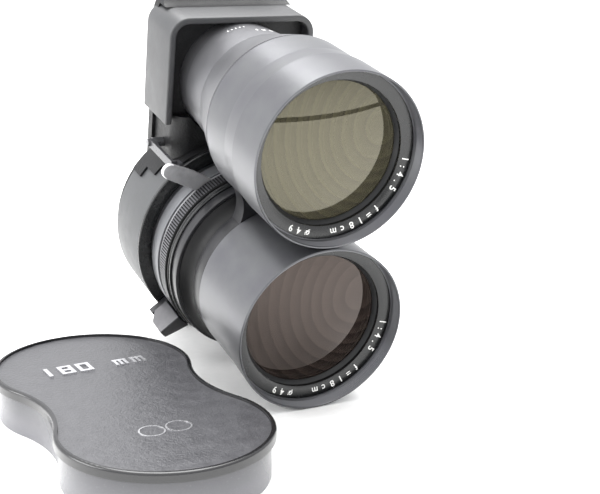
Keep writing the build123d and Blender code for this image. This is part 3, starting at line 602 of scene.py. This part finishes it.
hub_profile = [(turning_bore, cock_front), (cock_hub_r, cock_front), (cock_hub_r, cock_back),
               (turning_bore, cock_back)]
lever_hub = turned("cocking_hub", hub_profile, soften=0.08)
lever_grey, shader = new_finish("satin_grey_chromed_lever", Metallic=0.35, Specular_IOR_Level=0.6)
grain(lever_grey, shader, 2.0, 0.3, 0.7, ("848486", "929294"), rough=(0.32, 0.42), tilt=nose_down)
grain(lever_grey, shader, 0.1, 0.3, 0.7, bump=0.0015, tilt=nose_down)
# The edge faces round the tip are painted near white: a painted highlight where the chamfer catches light.
painted_tip_highlight, shader = new_finish("painted_highlight_lever_edge", Metallic=0.5, Specular_IOR_Level=0.8)
grain(painted_tip_highlight, shader, 1.0, 0.3, 0.7, ("E4E4E6", "F2F2F3"), rough=(0.2, 0.28), tilt=nose_down)
for part in (lever_blade, lever_hub):
    part.data.materials.append(lever_grey)
    part.data.materials.append(painted_tip_highlight)
# Painted highlight: the edge faces at the tip take the near-white finish.
for face in lever_blade.data.polygons:
    outward = (Vector((face.center.x, face.center.z)) / MM - tip).dot(way.normalized()) > -0.4
    face.material_index = 1 if outward and abs(face.normal.y) < 0.97 else 0
cocking_lever = join("cocking_lever_pressed", [lever_blade, lever_hub])
seat(cocking_lever, "cocking_lever", (), "dark_steel", "cocking_lever")

# --- Shutter case, drum and saddle ----------------------------------------------------------------
# The shutter case is an alloy casting, black in front. A grey enamelled drum shell covers it, and a black
# stepped saddle joins the drum to the neck above.

case_profile = [(bore_r, 46.15), (25.0, 46.15), (25.0, 63.8), (31.1, 63.8), (31.4, 64.1), (31.4, 64.6),
                (29.6, 64.6), (29.6, 84.75), (26.0, 84.75), (26.0, 67.6), (bore_r, 67.6)]
seat(turned("shutter_case_turned", case_profile, soften=0.06), "unit", ring_lacquer, "matte_black",
     "shutter_case")

drum_enamel, shader = new_finish("grey_crackle_enamel", IOR=1.5, Specular_IOR_Level=0.5)
grain(drum_enamel, shader, 5.0, 0.3, 0.7, ("3C3D3F", "404142"), rough=(0.46, 0.56), tilt=nose_down)
grain(drum_enamel, shader, 0.35, 0.3, 0.7, bump=0.014, detail=6.0, tilt=nose_down)
drum_profile = [(29.65, 64.65), (31.2, 64.65), (31.4, 64.85), (31.4, 84.55), (31.2, 84.75),
                (29.65, 84.75)]
seat(turned("drum_shell_turned", drum_profile, soften=0.05), "unit", drum_enamel, "satin_grey",
     "taking_drum")

neck_black, shader = new_finish("black_crinkle_paint", IOR=1.5, Specular_IOR_Level=0.3)
grain(neck_black, shader, 4.0, 0.3, 0.7, ("0A0A0B", "101012"), rough=(0.4, 0.5), tilt=nose_down)
grain(neck_black, shader, 0.7, 0.3, 0.7, bump=0.06, detail=3.0, tilt=nose_down)
for node in ("drum_saddle", "neck_casting", "lens_board"):
    refinish(node, neck_black)
plate_black, shader = new_finish("black_anodised_plate", IOR=1.5, Specular_IOR_Level=0.5)
grain(plate_black, shader, 6.0, 0.3, 0.7, ("141316", "1C1B1F"), rough=(0.4, 0.5), tilt=nose_down)
grain(plate_black, shader, 0.15, 0.3, 0.7, bump=0.002, tilt=nose_down)
for node in ("rear_cell", "rear_lock_ring", "viewing_lock_ring", "divider_plate", "iris_plate",
             "taking_spacer_ring", "viewing_spacer_ring"):
    refinish(node, plate_black)

# --- Viewing flare and tube -----------------------------------------------------------------------
# Behind the viewing barrel a short cone steps down to the tube that passes through the casting. The tube
# carries a few white marks.

tube_anodising, shader = new_finish("satin_anodised_tube", Metallic=0.72, IOR=1.6, Specular_IOR_Level=0.5)
grain(tube_anodising, shader, 9.0, 0.35, 0.65, ("6D6D70", "727275"), rough=(0.34, 0.4), tilt=nose_down)
grain(tube_anodising, shader, 0.12, 0.3, 0.7, bump=0.002, tilt=nose_down)
flare_profile = [(bore_r, 33.75), (23.85, 33.75), (23.85, 34.25), (24.15, 34.45), (19.8, 50.2),
                 (16.2, 50.2)]
flare_lip = 34.3
flare = turned("viewing_flare_turned", flare_profile, interaxial)
seat(flare, "unit", (tube_anodising, joint_black), "satin_black", "viewing_flare", crisp=3.2)
for face in flare.data.polygons:
    face.material_index = 1 if (level @ face.center).y < flare_lip * MM else 0
cone_front, cone_back, cone_r, tube_r, tube_in = 50.25, 66.0, 19.6, 18.0, 15.2
tube_profile = [(tube_in, cone_front), (cone_r, cone_front), (tube_r, cone_back), (tube_r, 72.05),
                (16.6, 72.05), (16.6, 93.5), (tube_in, 93.5)]
seat(turned("viewing_tube_turned", tube_profile, interaxial), "unit", tube_anodising, "satin_black",
     "viewing_tube", crisp=3.2)
cone_fall = math.atan2(cone_r - tube_r, cone_back - cone_front)
numerals = [("1", 2.4, 58.0, 91.0), ("8", 2.4, 58.0, 84.5), ("0", 2.4, 58.0, 77.0)]
strokes = [("l", 1.5, 64.0, degrees) for degrees in (112.0, 108.0, 104.0, 100.0, 96.0)]
marks = []
for character, size, tube_y, degrees in numerals + strokes:
    mark = figure("tube_mark", character, size)
    mark.data.transform(Matrix.Rotation(-cone_fall, 4, "X"))
    tube_here = cone_r - (tube_y - cone_front) * math.tan(cone_fall)
    mark.data.transform(Matrix.Translation(Vector((0, tube_y, tube_here)) * MM))
    mark.data.transform(Matrix.Rotation(math.radians(90 - degrees), 4, "Y"))
    mark.data.transform(Matrix.Translation((0, 0, interaxial * MM)))
    marks.append(mark)
seat(join("tube_marks", marks), "unit", white_fill, "silver")

# --- Viewing shroud -------------------------------------------------------------------------------
# The hood round the viewing tube: a pressed alloy shell, rounded at its two top corners, in fine
# leather-grain grey enamel, open in front, behind and below.

shroud_half, shroud_top, shroud_low, shroud_front, shroud_back = 23.3, 70.1, 37.5, 67.6, 87.5
shroud_corner, shroud_wall, shroud_edge = 6.0, 2.0, 0.5
shroud_enamel, shader = new_finish("grey_leather_grain_enamel", IOR=1.5, Specular_IOR_Level=0.5)
grain(shroud_enamel, shader, 5.0, 0.3, 0.7, ("343537", "3A3A3B"), rough=(0.42, 0.52), tilt=nose_down)
grain(shroud_enamel, shader, 0.5, 0.3, 0.7, bump=0.02, detail=5.0, tilt=nose_down)
shroud = start("cube", "viewing_shroud_pressed", size=1.0, location=(0, 0, 0))
shroud_middle = Vector((0, (shroud_front + shroud_back) / 2, (shroud_top + shroud_low) / 2))
shroud_spans = Vector((2 * shroud_half, shroud_back - shroud_front, shroud_top - shroud_low))
shroud.data.transform(Matrix.Translation(shroud_middle * MM) @ Matrix.Diagonal((*shroud_spans * MM, 1)))
bpy.ops.object.mode_set(mode="EDIT")
mesh = bmesh.from_edit_mesh(shroud.data)
for edge in mesh.edges:
    ends = [v.co / MM for v in edge.verts]
    edge.select = all(e.z > shroud_top - 1 for e in ends) and abs(ends[0].y - ends[1].y) > 1
bmesh.update_edit_mesh(shroud.data)
bpy.ops.mesh.bevel(offset=shroud_corner * MM, segments=10, profile=0.5)
mesh = bmesh.from_edit_mesh(shroud.data)
for face in mesh.faces:
    face.select = abs(face.normal.y) > 0.9 or face.normal.z < -0.9
bmesh.update_edit_mesh(shroud.data)
bpy.ops.mesh.select_mode(type="FACE")
bpy.ops.mesh.delete(type="FACE")
bpy.ops.mesh.select_mode(type="VERT")
bpy.ops.object.mode_set(mode="OBJECT")
wall = shroud.modifiers.new("wall", "SOLIDIFY")
wall.thickness = shroud_wall * MM
wall.offset = -1.0
wall.use_even_offset = True
soften = shroud.modifiers.new("rounded", "BEVEL")
soften.width = shroud_edge * MM
soften.segments = 3
soften.limit_method = "ANGLE"
soften.angle_limit = math.radians(40)
bpy.ops.object.modifier_apply(modifier="wall")
bpy.ops.object.modifier_apply(modifier="rounded")
seat(shroud, "unit", shroud_enamel, "satin_grey", "viewing_shroud", crisp=40)

# --- Release lever --------------------------------------------------------------------------------
# A thin steel bar on edge beside the neck, rounded where it turns on its pin, its front end cranked
# inwards. It keeps its CAD shape, as do its pin and the screws of the board.

release_black, shader = new_finish("worn_black_chromed_steel", Metallic=0.4, Specular_IOR_Level=0.6)
grain(release_black, shader, 2.0, 0.3, 0.7, ("39393C", "444447"), rough=(0.26, 0.34), tilt=nose_down)
refinish("release_lever", release_black)
refinish("release_pivot", lever_chrome)
refinish("board_screws", lever_chrome)

# --- Blades, rear glass and flash socket ----------------------------------------------------------
# Blued spring steel blades of the shutter and the iris, the coated rear elements, and a nickelled flash
# socket with its centre pin, all in their CAD shapes.

blade_blue, shader = new_finish("blued_spring_steel", Metallic=0.8, Specular_IOR_Level=0.5)
grain(blade_blue, shader, 3.0, 0.3, 0.7, ("23252A", "2E3037"), rough=(0.3, 0.42), tilt=nose_down)
socket_nickel, shader = new_finish("bright_nickel_plate", Metallic=1.0)
grain(socket_nickel, shader, 1.5, 0.3, 0.7, ("B9B8B2", "C6C5C0"), rough=(0.18, 0.28), tilt=nose_down)
for name in frame["nodes"]:
    if "blade" in name:
        refinish(name, blade_blue)
    if name.startswith("sync"):
        refinish(name, socket_nickel)
    if name.endswith("rear_element"):
        refinish(name, coats["viewing"])

# --- Slip-on cap ----------------------------------------------------------------------------------
# One black ABS moulding in a figure of eight that covers both lenses, with a raised lip round a
# leather-grain panel, silver foiled characters on one lobe and a fine outlined mark on the other.

cap_abs, shader = new_finish("black_abs_gloss_moulding", IOR=1.53, Specular_IOR_Level=0.6)
grain(cap_abs, shader, 0.3, 0.3, 0.7, bump=0.002, rough=(0.2, 0.28))
# The skirt's gradient stands in for light thrown up from the table; it isn't part of the real moulding.
cap_place = add_node(cap_abs, "ShaderNodeTexCoord").outputs["Object"]
cap_height = add_node(cap_abs, "ShaderNodeSeparateXYZ", {"Vector": cap_place})
cap_foot, cap_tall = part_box("cap_shell")[0][2], 12.8 * MM
table_light_share = add_node(cap_abs, "ShaderNodeMapRange",
                {"Value": cap_height.outputs["Z"], "From Min": cap_foot, "From Max": cap_foot + cap_tall})
painted_table_light = add_node(cap_abs, "ShaderNodeValToRGB", {"Fac": table_light_share.outputs[0]})
painted_table_light.color_ramp.elements[0].color = linear("707074")
painted_table_light.color_ramp.elements[1].color = linear("141416")
for height_share, tone in ((0.45, "505054"), (0.77, "3C3C40"), (0.82, "141416")):
    painted_table_light.color_ramp.elements.new(height_share).color = linear(tone)
cap_abs.node_tree.links.new(painted_table_light.outputs["Color"], shader.inputs["Base Color"])
panel_abs, shader = new_finish("black_abs_leather_grain", IOR=1.53, Specular_IOR_Level=0.6)
grain(panel_abs, shader, 4.0, 0.3, 0.7, ("38383B", "434346"), rough=(0.3, 0.4))
grain(panel_abs, shader, 0.9, 0.35, 0.65, bump=0.06, detail=3.0)
silver_foil, shader = new_finish("silver_hot_foil", Metallic=0.9)
grain(silver_foil, shader, 0.6, 0.3, 0.7, ("C9C9CC", "DEDEE0"), rough=(0.22, 0.34))
for node, finish in (("cap_shell", cap_abs), ("cap_panel", panel_abs), ("cap_numerals", silver_foil),
                     ("cap_emblem", silver_foil)):
    refinish(node, finish)
